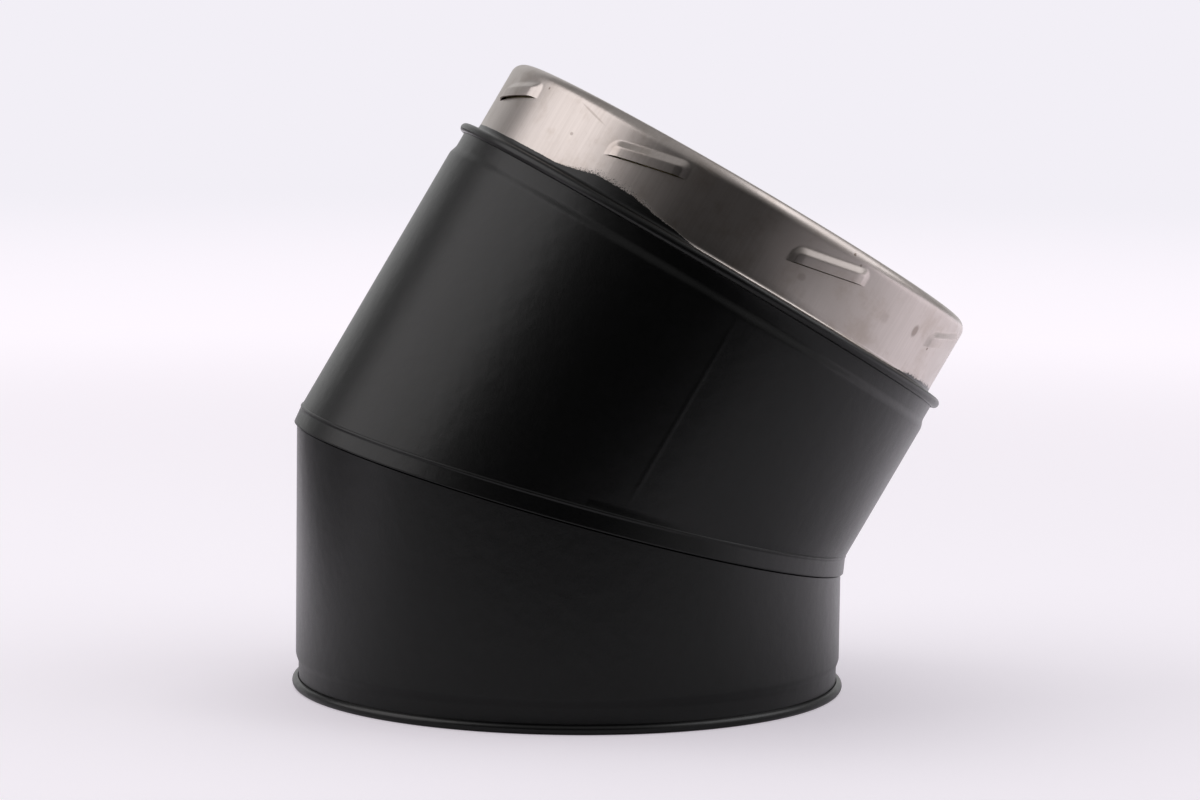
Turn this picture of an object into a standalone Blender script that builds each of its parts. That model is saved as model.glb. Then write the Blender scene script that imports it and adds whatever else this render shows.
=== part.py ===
"""Twin-wall insulated flue elbow, 30 degrees, with twist-lock couplers.

Metres, +Z up. The lower leg stands on the XY plane and runs up +Z, and the upper leg leans towards
+X. Both legs are built the same way, from r, the distance from the leg's own axis, an angle about
that axis, and h, the distance in from the leg's rim. The two legs meet at the mitre plane, which
halves the bend. Every sheet is a centre line given its thickness and swept round the leg.
"""
import math
from collections import namedtuple

import bmesh
import bpy
from mathutils import Vector

# Main sizes: a 150 mm bore with 25 mm of insulation makes a 200 mm casing.
BEND = math.radians(30.0)
BORE_R = 0.0750
CASING_R = 0.1000
LOWER_LEG = 0.0731
UPPER_LEG = 0.09595

# Sheet and the gap left between pieces that touch.
CASING_SHEET = 0.0005
LINER_SHEET = 0.0006
COUPLER_SHEET = 0.0005
CLEARANCE = 0.0003

# Casing ends: a swaged neck with a flared lip, which the coupler's hem wraps.
NECK_STEP = 0.0010
NECK_END = 0.0085
NECK_RAMP = 0.0026
LIP_FLARE = 0.00130
LIP_TURN = 0.0010
HEM_HEIGHT = 0.0035
HEM_PROUD = 0.0013
HEM_ROOM = 0.0006

# Gore-lock seam between the two casing halves.
SEAM_HALF = 0.0040
SEAM_BAND_PROUD = 0.00065
SEAM_RIDGE_PROUD = 0.00125
SEAM_RIDGE_WIDTH = 0.0012
SEAM_TUCK = 0.0008

# Couplers: the male sleeve stands out of the upper rim, the female one is recessed in the lower rim.
MALE_SLEEVE = 0.02925
SLEEVE_CORNER = 0.0025
SLEEVE_FILLET = 0.0018
SEAT_GAP = 0.0020
COLLAR_LENGTH = 0.0065
COLLAR_BEND = 0.00125
SLEEVE_FIT = 0.0006

# Lanced lugs of the twist lock.
LUG_COUNT = 8
LUG_PHASE = math.radians(14.0)
LUG_SPAN = math.radians(19.0)
LUG_RAMP = math.radians(1.2)
LUG_ROUNDING = 0.45
LUG_RISE = 0.0014
LUG_WIDTH = 0.0067
LUG_SHOULDER = 0.0021
LUG_CREST = 0.9
LUG_CLIMB = 0.0063
LUG_HEIGHT = 0.0157
LUG_CATCH = 0.0004
SLIT_OPEN = 0.0004

# Liner ends and the weld on the liner's mitre.
SOCKET_DEPTH = 0.0300
SOCKET_STEP = 0.0025
SPIGOT_SETBACK = 0.0030
SPIGOT_TAPER = 0.0004
SPIGOT_LEAD = 0.0040
WELD_HALF = 0.0020
WELD_HEIGHT = 0.0011

# Mineral wool between the walls.
WOOL_GAP = 0.0004

# Flat stretches round a shell between two lugs, flat stretches round a hidden piece, and the
# least angle between faces that is shaded as an edge.
PLAIN_COLUMNS = 3
HIDDEN_COLUMNS = 48
SHARP_ANGLE = math.radians(40.0)

HALF = BEND / 2.0
TAN_HALF = math.tan(HALF)
COS_HALF = math.cos(HALF)
MITRE_CENTRE = Vector((0.0, 0.0, LOWER_LEG))
MITRE_NORMAL = Vector((math.sin(HALF), 0.0, math.cos(HALF)))
MITRE_ACROSS = Vector((math.cos(HALF), 0.0, -math.sin(HALF)))
UPPER_AXIS = Vector((math.sin(BEND), 0.0, math.cos(BEND)))
UPPER_ACROSS = Vector((math.cos(BEND), 0.0, -math.sin(BEND)))
SIDEWAYS = Vector((0.0, 1.0, 0.0))

# Radii that follow from the sizes above, from the casing inwards and from the bore outwards.
CASING_INNER_R = CASING_R - CASING_SHEET
NECK_R = CASING_R - NECK_STEP
NECK_INNER_R = NECK_R - CASING_SHEET
BEAD_R = CASING_R + HEM_PROUD
FEMALE_OUTER_R = NECK_INNER_R - HEM_ROOM
FEMALE_INNER_R = FEMALE_OUTER_R - COUPLER_SHEET
MALE_OUTER_R = FEMALE_INNER_R - LUG_RISE - SLEEVE_FIT
MALE_INNER_R = MALE_OUTER_R - COUPLER_SHEET
LINER_OUTER_R = BORE_R + LINER_SHEET
SOCKET_INNER_R = LINER_OUTER_R + CLEARANCE
SOCKET_OUTER_R = SOCKET_INNER_R + LINER_SHEET
LEDGE_DEPTH = MALE_SLEEVE + SEAT_GAP

Station = namedtuple("Station", "r h follow rise")
Column = namedtuple("Column", "angle climb rise rounding")


# ---------------------------------------------------------------- places on a leg
def lower_point(r, angle, h):
    """A point of the lower leg, h above its rim."""
    return Vector((r * math.cos(angle), r * math.sin(angle), h))


def upper_point(r, angle, h):
    """A point of the upper leg, h below its rim."""
    across = UPPER_ACROSS * (r * math.cos(angle)) + SIDEWAYS * (r * math.sin(angle))
    return MITRE_CENTRE + UPPER_AXIS * (UPPER_LEG - h) + across


def square_ring(point, r, h, columns):
    """A ring square to the leg."""
    return [point(r, column.angle, h) for column in columns]


def mitre_ring(point, leg, r, short, columns):
    """A ring of the leg's own radius, cut by a plane that stops short of the mitre."""
    return [
        point(r, c.angle, leg - short / COS_HALF - r * math.cos(c.angle) * TAN_HALF) for c in columns
    ]


def oval_ring(offset, along, columns):
    """A ring of the seam collar, which is oval and square to the mitre plane.

    The collar carries on from both casing walls where they are cut SEAM_HALF from the mitre.
    """
    centre = MITRE_CENTRE + MITRE_ACROSS * (SEAM_HALF * TAN_HALF) + MITRE_NORMAL * along
    long_r = CASING_R / COS_HALF + offset
    short_r = CASING_R + offset
    return [
        centre + MITRE_ACROSS * (long_r * math.cos(c.angle)) + SIDEWAYS * (short_r * math.sin(c.angle))
        for c in columns
    ]


def lug_columns():
    """Angles round a shell: five at each lug, and a few in the plain stretch up to the next one.

    The lug stands at its full rise between its two ramps. Away from the slit, its corners rise by
    LUG_ROUNDING of that, and its whole edge by LUG_CREST where the shoulder starts.
    """
    pitch = 2.0 * math.pi / LUG_COUNT
    half = LUG_SPAN / 2.0
    ramp = half - LUG_RAMP
    columns = []
    for lug in range(LUG_COUNT):
        centre = LUG_PHASE + lug * pitch
        for place, rise, rounding in (
            (-half, 0.0, 1.0),
            (-ramp, 1.0, LUG_ROUNDING),
            (0.0, 1.0, 1.0),
            (ramp, 1.0, LUG_ROUNDING),
            (half, 0.0, 1.0),
        ):
            columns.append(Column(centre + place, place / LUG_SPAN, rise, rounding))
        for step in range(1, PLAIN_COLUMNS):
            part = step / PLAIN_COLUMNS
            columns.append(Column(centre + half + part * (pitch - LUG_SPAN), 0.5 - part, 0.0, 1.0))
    return columns


def plain_columns(count):
    """Evenly spaced angles."""
    return [Column(2.0 * math.pi * step / count, 0.0, 0.0, 1.0) for step in range(count)]


SHELL = lug_columns()
HIDDEN = plain_columns(HIDDEN_COLUMNS)


# ---------------------------------------------------------------- sheet sections
def sheet_sides(line, thickness):
    """The two sides of a sheet whose centre line is given as (r, h) points.

    At a tight bend, a side reaches no farther than one sheet's thickness from the centre line.
    """
    sharpest = 0.5
    left = []
    right = []
    for index, (r, h) in enumerate(line):
        before = line[max(index - 1, 0)]
        after = line[min(index + 1, len(line) - 1)]
        way_in = Vector((r - before[0], h - before[1]))
        way_out = Vector((after[0] - r, after[1] - h))
        way_in = (way_in if index else way_out).normalized()
        way_out = (way_out if index < len(line) - 1 else way_in).normalized()
        normal = Vector((way_in.y + way_out.y, -way_in.x - way_out.x)).normalized()
        across = Vector((way_in.y, -way_in.x))
        reach = thickness / 2.0 / max(normal.dot(across), sharpest)
        left.append((r + normal.x * reach, h + normal.y * reach))
        right.append((r - normal.x * reach, h - normal.y * reach))
    return left, right


def arc(centre_r, centre_h, radius, first, last, steps):
    """Points on a round bend of a centre line, in degrees from the direction away from the axis."""
    points = []
    for step in range(steps + 1):
        angle = math.radians(first + (last - first) * step / steps)
        points.append((centre_r + radius * math.cos(angle), centre_h + radius * math.sin(angle)))
    return points


def hem_line():
    """The hem that wraps the casing's lip, from its cut edge on the neck to the rim's face."""
    bend = HEM_HEIGHT / 2.0 - COUPLER_SHEET / 2.0
    edge = (NECK_R + CLEARANCE, HEM_HEIGHT - COUPLER_SHEET / 2.0)
    return [edge] + arc(BEAD_R - HEM_HEIGHT / 2.0, HEM_HEIGHT / 2.0, bend, 45.0, -90.0, 3)


def casing_rim_line():
    """The casing's lip, neck and ramp, from the lip's cut edge to the full wall."""
    neck = NECK_R - CASING_SHEET / 2.0
    wall = CASING_R - CASING_SHEET / 2.0
    middle = HEM_HEIGHT / 2.0
    cut_edge = middle - CASING_SHEET / 2.0
    return [
        (neck + LIP_FLARE, cut_edge),
        (neck + LIP_FLARE / 2.0, middle),
        (neck, cut_edge + LIP_TURN),
        (neck, NECK_END),
        (wall, NECK_END + NECK_RAMP),
    ]


# ---------------------------------------------------------------- meshes
def material(name, color, metallic, roughness):
    """A plain Principled material."""
    made = bpy.data.materials.new(name)
    made.use_nodes = True
    shader = made.node_tree.nodes["Principled BSDF"]
    shader.inputs["Base Color"].default_value = (*color, 1.0)
    shader.inputs["Metallic"].default_value = metallic
    shader.inputs["Roughness"].default_value = roughness
    return made


def finish(name, bm, look):
    """Turn the faces outwards, shade the round ones smooth and add the piece to the scene."""
    bmesh.ops.recalc_face_normals(bm, faces=bm.faces)
    if bm.calc_volume(signed=True) < 0.0:
        bmesh.ops.reverse_faces(bm, faces=bm.faces)
    mesh = bpy.data.meshes.new(name)
    bm.to_mesh(mesh)
    bm.free()
    mesh.shade_smooth()
    mesh.set_sharp_from_angle(angle=SHARP_ANGLE)
    mesh.materials.append(look)
    piece = bpy.data.objects.new(name, mesh)
    bpy.context.scene.collection.objects.link(piece)
    return piece


def strip(bm, rings):
    """Quads from each ring to the next, round the whole leg."""
    for upper, lower in zip(rings, rings[1:]):
        for place in range(len(upper)):
            after = (place + 1) % len(upper)
            bm.faces.new((upper[place], upper[after], lower[after], lower[place]))


def swept_ring(name, rings, look):
    """A closed ring-shaped piece, from the rings round its section."""
    bm = bmesh.new()
    rows = [[bm.verts.new(place) for place in ring] for ring in rings]
    strip(bm, rows + rows[:1])
    return finish(name, bm, look)


def coupler(name, point, stations, slit, inward, look):
    """A coupler with its lanced lugs.

    The sheet's centre line is a list of stations. At the station numbered slit, each lug is cut
    free: the sheet on the lug's side rises and the sheet on the other side stays on the sleeve.
    """
    push = -LUG_RISE if inward else LUG_RISE
    opening = math.copysign(SLIT_OPEN, stations[slit + 1].h - stations[slit].h)
    sides = sheet_sides([(s.r, s.h) for s in stations], COUPLER_SHEET)
    outward = -1.0 if point is upper_point else 1.0
    bm = bmesh.new()

    def vertex(side, index, column, rise):
        station = stations[index]
        r, h = sides[side][index]
        lift = rise * column.rise * (1.0 if index == slit else column.rounding)
        away = opening * lift if index == slit else 0.0
        climb = outward * station.follow * column.climb * LUG_CLIMB
        return bm.verts.new(point(r + push * lift, column.angle, h + climb + away))

    rows = []
    for side in (0, 1):
        rows.append([[vertex(side, i, c, s.rise) for c in SHELL] for i, s in enumerate(stations)])
    stay = []
    for side in (0, 1):
        raised = rows[side][slit]
        stay.append([vertex(side, slit, c, 0.0) if c.rise else v for c, v in zip(SHELL, raised)])
    lug_end = rows[0][slit:] + rows[1][slit:][::-1]
    plain_end = stay[:1] + rows[0][:slit][::-1] + rows[1][:slit] + stay[1:]
    strip(bm, lug_end)
    strip(bm, plain_end)
    for raised_0, raised_1 in ((rows[0][slit], rows[1][slit]), (stay[0], stay[1])):
        for place, column in enumerate(SHELL):
            after = (place + 1) % len(SHELL)
            if column.rise or SHELL[after].rise:
                bm.faces.new((raised_0[place], raised_0[after], raised_1[after], raised_1[place]))
    return finish(name, bm, look)


# ---------------------------------------------------------------- casing
def lower_casing_gore(look):
    """The lower half of the casing, whose top end is a collar inside the seam's band."""
    outer, inner = sheet_sides(casing_rim_line(), CASING_SHEET)
    offset = SEAM_BAND_PROUD - CASING_SHEET - CLEARANCE
    top = SEAM_HALF - SEAM_TUCK
    knee = SEAM_HALF + CLEARANCE * 2.0
    if outer[-1][0] < inner[-1][0]:
        outer, inner = inner, outer
    rings = [square_ring(lower_point, r, h, SHELL) for r, h in outer]
    rings.append(mitre_ring(lower_point, LOWER_LEG, CASING_R, knee, SHELL))
    rings.append(oval_ring(offset, -SEAM_HALF, SHELL))
    rings.append(oval_ring(offset, top, SHELL))
    rings.append(oval_ring(offset - CASING_SHEET, top, SHELL))
    rings.append(oval_ring(offset - CASING_SHEET, -SEAM_HALF, SHELL))
    rings.append(mitre_ring(lower_point, LOWER_LEG, CASING_INNER_R, knee, SHELL))
    rings += [square_ring(lower_point, r, h, SHELL) for r, h in reversed(inner)]
    return swept_ring("lower_casing_gore", rings, look)


def upper_casing_gore(look):
    """The upper half of the casing, whose lower end is the seam's ridge and band."""
    outer, inner = sheet_sides(casing_rim_line(), CASING_SHEET)
    ridge = SEAM_HALF + SEAM_RIDGE_WIDTH / 2.0
    wall = SEAM_HALF + SEAM_RIDGE_WIDTH * 1.5
    if outer[-1][0] < inner[-1][0]:
        outer, inner = inner, outer
    rings = [square_ring(upper_point, r, h, SHELL) for r, h in outer]
    rings.append(mitre_ring(upper_point, UPPER_LEG, CASING_R, wall, SHELL))
    rings.append(oval_ring(SEAM_RIDGE_PROUD, ridge, SHELL))
    rings.append(oval_ring(SEAM_BAND_PROUD, SEAM_HALF - SEAM_RIDGE_WIDTH / 2.0, SHELL))
    rings.append(oval_ring(SEAM_BAND_PROUD, -SEAM_HALF, SHELL))
    rings.append(oval_ring(SEAM_BAND_PROUD - CASING_SHEET, -SEAM_HALF, SHELL))
    rings.append(oval_ring(SEAM_BAND_PROUD - CASING_SHEET, SEAM_HALF - SEAM_RIDGE_WIDTH / 2.0, SHELL))
    rings.append(oval_ring(SEAM_RIDGE_PROUD - CASING_SHEET, ridge, SHELL))
    rings.append(mitre_ring(upper_point, UPPER_LEG, CASING_INNER_R, wall, SHELL))
    rings += [square_ring(upper_point, r, h, SHELL) for r, h in reversed(inner)]
    return swept_ring("upper_casing_gore", rings, look)


# ---------------------------------------------------------------- couplers
def plain_stations(line):
    """Stations with no lug."""
    return [Station(r, h, 0.0, 0.0) for r, h in line]


def male_coupler(look):
    """The sleeve that stands out of the upper rim, with lugs that spring outwards.

    It runs from the hem's cut edge over the bead, up the sleeve and in over the wool, and ends in
    a collar round the liner's socket. Outside the rim, h is negative.
    """
    half = COUPLER_SHEET / 2.0
    sleeve = MALE_OUTER_R - half
    collar = SOCKET_OUTER_R + CLEARANCE + half
    top = -MALE_SLEEVE + half
    bend = SLEEVE_CORNER - half
    foot = arc(sleeve + SLEEVE_FILLET, half - SLEEVE_FILLET, SLEEVE_FILLET, 90.0, 180.0, 2)
    lug = [
        Station(sleeve, -LUG_HEIGHT, 1.0, 1.0),
        Station(sleeve, -LUG_HEIGHT - LUG_WIDTH + LUG_SHOULDER, 1.0, LUG_CREST),
        Station(sleeve, -LUG_HEIGHT - LUG_WIDTH, 1.0, 0.0),
    ]
    shoulder = arc(sleeve - bend, top + bend, bend, 0.0, -90.0, 2)
    end = [
        (collar + COLLAR_BEND, top),
        (collar, top + COLLAR_BEND),
        (collar, top + COLLAR_BEND + COLLAR_LENGTH),
    ]
    below = plain_stations(hem_line() + foot)
    above = plain_stations(shoulder + end)
    return coupler("male_coupler", upper_point, below + lug + above, len(below), False, look)


def female_coupler(look):
    """The sleeve recessed in the lower rim, with lugs that spring inwards.

    It runs from the hem's cut edge under the rim, up inside the neck and in over the space that
    takes the next piece's sleeve, and ends in a collar round the liner.
    """
    half = COUPLER_SHEET / 2.0
    sleeve = FEMALE_INNER_R + half
    collar = LINER_OUTER_R + CLEARANCE + half
    top = LEDGE_DEPTH + half
    bend = SLEEVE_CORNER - half
    hem = hem_line() + arc(sleeve + HEM_ROOM, half + HEM_ROOM, HEM_ROOM, -90.0, -180.0, 1)
    cut = LUG_HEIGHT - LUG_CATCH
    lug = [
        Station(sleeve, cut - LUG_WIDTH, 1.0, 0.0),
        Station(sleeve, cut - LUG_WIDTH + LUG_SHOULDER, 1.0, LUG_CREST),
        Station(sleeve, cut, 1.0, 1.0),
    ]
    shoulder = arc(sleeve - bend, top - bend, bend, 0.0, 90.0, 2)
    end = [
        (collar + COLLAR_BEND, top),
        (collar, top + COLLAR_BEND),
        (collar, top + COLLAR_BEND + COLLAR_LENGTH),
    ]
    whole = plain_stations(hem) + lug + plain_stations(shoulder + end)
    whole.reverse()
    return coupler("female_coupler", lower_point, whole, len(shoulder + end), True, look)


# ---------------------------------------------------------------- liner
def lower_liner_gore(look):
    """The lower half of the liner, whose end is drawn in a little to enter the next socket."""
    start = SPIGOT_SETBACK
    lead = start + SPIGOT_LEAD
    rings = []
    for r, way in ((LINER_OUTER_R, 1), (BORE_R, -1)):
        side = [
            square_ring(lower_point, r - SPIGOT_TAPER, start, HIDDEN),
            square_ring(lower_point, r, lead, HIDDEN),
            mitre_ring(lower_point, LOWER_LEG, r, CLEARANCE / 2.0, HIDDEN),
        ]
        rings += side[::way]
    return swept_ring("lower_liner_gore", rings, look)


def upper_liner_gore(look):
    """The upper half of the liner, whose end is widened into a socket."""
    mouth = -MALE_SLEEVE
    root = mouth + SOCKET_DEPTH
    rings = []
    for wide, r, way in ((SOCKET_OUTER_R, LINER_OUTER_R, 1), (SOCKET_INNER_R, BORE_R, -1)):
        side = [
            square_ring(upper_point, wide, mouth, HIDDEN),
            square_ring(upper_point, wide, root, HIDDEN),
            square_ring(upper_point, r, root + SOCKET_STEP, HIDDEN),
            mitre_ring(upper_point, UPPER_LEG, r, CLEARANCE / 2.0, HIDDEN),
        ]
        rings += side[::way]
    return swept_ring("upper_liner_gore", rings, look)


def liner_seam_weld(look):
    """The weld bead round the outside of the liner's mitre."""
    seat = LINER_OUTER_R + CLEARANCE
    crown = seat + WELD_HEIGHT
    rings = [
        mitre_ring(lower_point, LOWER_LEG, seat, WELD_HALF, HIDDEN),
        mitre_ring(lower_point, LOWER_LEG, seat, 0.0, HIDDEN),
        mitre_ring(upper_point, UPPER_LEG, seat, WELD_HALF, HIDDEN),
        mitre_ring(lower_point, LOWER_LEG, crown, 0.0, HIDDEN),
    ]
    return swept_ring("liner_seam_weld", rings, look)


# ---------------------------------------------------------------- insulation
def wool_mitre_rings(point, leg, side):
    """The wool's cut face at the mitre, eased round the seam collar and the weld."""
    inset = CLEARANCE + CASING_SHEET * 2.0 + WOOL_GAP
    outer_offset = SEAM_BAND_PROUD - inset - CLEARANCE
    weld_r = LINER_OUTER_R + CLEARANCE + WELD_HEIGHT + WOOL_GAP
    face = CLEARANCE / 2.0
    return [
        oval_ring(outer_offset, side * (SEAM_HALF + WOOL_GAP), HIDDEN),
        oval_ring(outer_offset, side * face, HIDDEN),
        mitre_ring(point, leg, weld_r, face, HIDDEN),
        mitre_ring(point, leg, LINER_OUTER_R + WOOL_GAP, WELD_HALF * 2.0, HIDDEN),
    ]


def lower_insulation(look):
    """Mineral wool from the female coupler's ledge to the mitre."""
    ledge = LEDGE_DEPTH + COUPLER_SHEET + WOOL_GAP
    collar_r = LINER_OUTER_R + CLEARANCE + COUPLER_SHEET + WOOL_GAP
    collar_h = ledge + COLLAR_BEND + COLLAR_LENGTH + WOOL_GAP
    rings = [square_ring(lower_point, CASING_INNER_R - WOOL_GAP, ledge, HIDDEN)]
    rings += wool_mitre_rings(lower_point, LOWER_LEG, -1.0)
    rings.append(square_ring(lower_point, LINER_OUTER_R + WOOL_GAP, collar_h + WOOL_GAP, HIDDEN))
    rings.append(square_ring(lower_point, collar_r, collar_h, HIDDEN))
    rings.append(square_ring(lower_point, collar_r, ledge + COLLAR_BEND, HIDDEN))
    rings.append(square_ring(lower_point, collar_r + COLLAR_BEND, ledge, HIDDEN))
    return swept_ring("lower_insulation", rings, look)


def upper_insulation(look):
    """Mineral wool from the mitre up to the male coupler's top."""
    top = -MALE_SLEEVE + SLEEVE_CORNER
    collar_r = SOCKET_OUTER_R + CLEARANCE + COUPLER_SHEET + WOOL_GAP
    socket_r = SOCKET_OUTER_R + WOOL_GAP
    collar_h = -MALE_SLEEVE + COUPLER_SHEET + COLLAR_BEND + COLLAR_LENGTH + WOOL_GAP
    root = -MALE_SLEEVE + SOCKET_DEPTH
    sleeve_r = MALE_INNER_R - WOOL_GAP
    neck_r = NECK_INNER_R - WOOL_GAP
    rings = [
        square_ring(upper_point, sleeve_r, top, HIDDEN),
        square_ring(upper_point, sleeve_r, HEM_HEIGHT, HIDDEN),
        square_ring(upper_point, neck_r, NECK_END, HIDDEN),
        square_ring(upper_point, CASING_INNER_R - WOOL_GAP, NECK_END + NECK_RAMP * 1.5, HIDDEN),
    ]
    rings += wool_mitre_rings(upper_point, UPPER_LEG, 1.0)
    rings.append(square_ring(upper_point, LINER_OUTER_R + WOOL_GAP, root + SOCKET_STEP * 1.5, HIDDEN))
    rings.append(square_ring(upper_point, socket_r, root, HIDDEN))
    rings.append(square_ring(upper_point, socket_r, collar_h + WOOL_GAP, HIDDEN))
    rings.append(square_ring(upper_point, collar_r, collar_h, HIDDEN))
    rings.append(square_ring(upper_point, collar_r, top, HIDDEN))
    return swept_ring("upper_insulation", rings, look)


# ---------------------------------------------------------------- the whole elbow
def clear_scene():
    """Remove what a new file holds."""
    for thing in list(bpy.data.objects):
        bpy.data.objects.remove(thing, do_unlink=True)


def build_elbow():
    """Make every piece and stand the elbow with the middle of its plan over the origin."""
    black = material("satin_black_paint", (0.028, 0.028, 0.030), 0.0, 0.42)
    black_upper = material("satin_black_paint_upper", (0.028, 0.028, 0.030), 0.0, 0.42)
    steel = material("brushed_stainless_male", (0.62, 0.58, 0.55), 1.0, 0.30)
    rim = material("brushed_stainless_female", (0.60, 0.57, 0.55), 1.0, 0.32)
    liner_low = material("bright_stainless_lower", (0.66, 0.65, 0.64), 1.0, 0.22)
    liner_up = material("bright_stainless_upper", (0.66, 0.65, 0.64), 1.0, 0.22)
    weld = material("weld_metal", (0.45, 0.43, 0.42), 1.0, 0.45)
    wool_low = material("mineral_wool_lower", (0.55, 0.49, 0.33), 0.0, 0.95)
    wool_up = material("mineral_wool_upper", (0.55, 0.49, 0.33), 0.0, 0.95)
    pieces = [
        lower_casing_gore(black),
        upper_casing_gore(black_upper),
        male_coupler(steel),
        female_coupler(rim),
        lower_liner_gore(liner_low),
        upper_liner_gore(liner_up),
        liner_seam_weld(weld),
        lower_insulation(wool_low),
        upper_insulation(wool_up),
    ]
    across = [vertex.co.x for piece in pieces for vertex in piece.data.vertices]
    stand = bpy.data.objects.new("elbow_stand", None)
    stand.location.x = -(min(across) + max(across)) / 2.0
    bpy.context.scene.collection.objects.link(stand)
    for piece in pieces:
        piece.parent = stand


clear_scene()
build_elbow()
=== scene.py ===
"""Looks of an insulated 30 degree flue elbow: black twin-wall casing, bright stainless ends.

Metres, +Z up. The lower leg stands on the floor and the upper leg leans towards +X. On either leg,
r is the distance from the leg's own axis, an angle goes round it from the throat side, and depth is
the distance in from the leg's rim.
"""

import math
from collections import namedtuple

import bmesh
import bpy
from mathutils import Matrix, Vector


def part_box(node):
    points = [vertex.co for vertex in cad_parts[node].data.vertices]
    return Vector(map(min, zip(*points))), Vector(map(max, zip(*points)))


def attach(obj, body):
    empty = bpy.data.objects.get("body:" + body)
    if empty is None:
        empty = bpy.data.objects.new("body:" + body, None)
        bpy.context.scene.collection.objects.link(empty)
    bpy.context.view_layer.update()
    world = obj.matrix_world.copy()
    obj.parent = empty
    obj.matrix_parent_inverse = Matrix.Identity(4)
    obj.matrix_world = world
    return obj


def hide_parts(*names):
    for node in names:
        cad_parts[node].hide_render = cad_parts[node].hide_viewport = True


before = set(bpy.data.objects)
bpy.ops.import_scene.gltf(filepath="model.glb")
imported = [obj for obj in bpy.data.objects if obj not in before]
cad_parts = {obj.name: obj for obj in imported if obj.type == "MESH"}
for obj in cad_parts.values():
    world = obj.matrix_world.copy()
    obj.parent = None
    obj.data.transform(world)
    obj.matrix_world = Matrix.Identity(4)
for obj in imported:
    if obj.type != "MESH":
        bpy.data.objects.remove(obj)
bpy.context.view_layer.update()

# ================================================================ liner halves
# The flue's inner tube: two short tubes rolled from 0.6 mm bright stainless sheet, cut at 15
# degrees and welded end to end. The lower end is a spigot, drawn in a little at its lip, and the
# upper end is widened into a socket.
BEND = math.radians(30.0)
LOWER_LEG = 0.0731
UPPER_LEG = 0.09595
BORE_R = 0.0750
LINER_SHEET = 0.0006
SPIGOT_SETBACK = 0.0030
SPIGOT_TAPER = 0.0004
SPIGOT_LEAD = 0.0040
SOCKET_REACH = 0.02925
SOCKET_DEPTH = 0.0300
SOCKET_STEP = 0.0025
TIGHT_GAP = 0.0003
LINER_COLUMNS = 240
LIP_ROWS = 8
SHARP_EDGE = math.radians(38.0)
LINER_STEEL = (0.640, 0.625, 0.605)
LINER_DULL = 0.8
LINER_HAIRS = {"Hairs Across": 700.0, "Hairs Along": 14.0}
LINER_ROUGH = (0.17, 0.31)
LINER_GRAIN = 0.00003

HALF = BEND / 2.0
liner_low, liner_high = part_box("lower_liner_gore")
LEG_X = (liner_low.x + liner_high.x) / 2.0
MITRE = Matrix.Translation((LEG_X, 0.0, LOWER_LEG))
MITRE_PLANE = MITRE @ Matrix.Rotation(HALF, 4, "Y")

Leg = namedtuple("Leg", "rim length way tilt")
LOWER = Leg(Matrix.Translation((LEG_X, 0.0, 0.0)), LOWER_LEG, 1.0, 0.0)
UPPER_RIM = MITRE @ Matrix.Rotation(BEND, 4, "Y") @ Matrix.Translation((0.0, 0.0, UPPER_LEG))
UPPER = Leg(UPPER_RIM, UPPER_LEG, -1.0, BEND)


def leg_point(leg, r, angle, depth):
    """A point of a leg, depth in from its rim."""
    return leg.rim @ Vector((r * math.cos(angle), r * math.sin(angle), leg.way * depth))


def even_angles(count):
    """Angles once round a leg."""
    return [2.0 * math.pi * step / count for step in range(count)]


def square_ring(leg, r, depth, angles):
    """A ring square to the leg."""
    return [leg_point(leg, r, angle, depth) for angle in angles]


def mitre_ring(leg, r, short, angles):
    """A ring of the leg's radius on a plane that stops short of the mitre."""
    ring = []
    for angle in angles:
        depth = leg.length - short / math.cos(HALF) - r * math.cos(angle) * math.tan(HALF)
        ring.append(leg_point(leg, r, angle, depth))
    return ring


def smooth_step(low, high, value):
    """0 below low, 1 above high, and an S-curve between them."""
    share = min(max((value - low) / (high - low), 0.0), 1.0)
    return share * share * (3.0 - 2.0 * share)


def linked(name, data):
    """A new object in the scene."""
    made = bpy.data.objects.new(name, data)
    bpy.context.scene.collection.objects.link(made)
    return made


def add_piece(name, mesh, look):
    """Link a mesh as a piece, with its round faces smooth and its cut edges sharp."""
    mesh.shade_smooth()
    mesh.set_sharp_from_angle(angle=SHARP_EDGE)
    mesh.materials.clear()
    mesh.materials.append(look)
    return linked(name, mesh)


def finished(bm, name):
    """The mesh of a bmesh that isn't edited any more."""
    mesh = bpy.data.meshes.new(name)
    bm.to_mesh(mesh)
    bm.free()
    return mesh


def swept_mesh(name, rings):
    """A closed sheet or ring, from the rings round its section."""
    bm = bmesh.new()
    rows = [[bm.verts.new(place) for place in ring] for ring in rings]
    for row, following in zip(rows, rows[1:] + rows[:1]):
        for place in range(len(row)):
            after = (place + 1) % len(row)
            bm.faces.new((row[place], row[after], following[after], following[place]))
    bmesh.ops.recalc_face_normals(bm, faces=bm.faces)
    if bm.calc_volume(signed=True) < 0.0:
        bmesh.ops.reverse_faces(bm, faces=bm.faces)
    return finished(bm, name)


def feed(tree, node, inputs):
    """Fill a node's inputs, each with a value or with the socket that feeds it."""
    for key, value in inputs.items():
        if isinstance(value, bpy.types.NodeSocket):
            tree.links.new(value, node.inputs[key])
        else:
            node.inputs[key].default_value = value


def put(tree, kind, inputs=None, **settings):
    """Add a shader or geometry node with its settings and inputs."""
    made = tree.nodes.new(kind)
    for setting, value in settings.items():
        setattr(made, setting, value)
    feed(tree, made, inputs or {})
    return made


def maths(tree, operation, *values):
    """The output of a Math node."""
    return put(tree, "ShaderNodeMath", dict(enumerate(values)), operation=operation).outputs[0]


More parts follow.
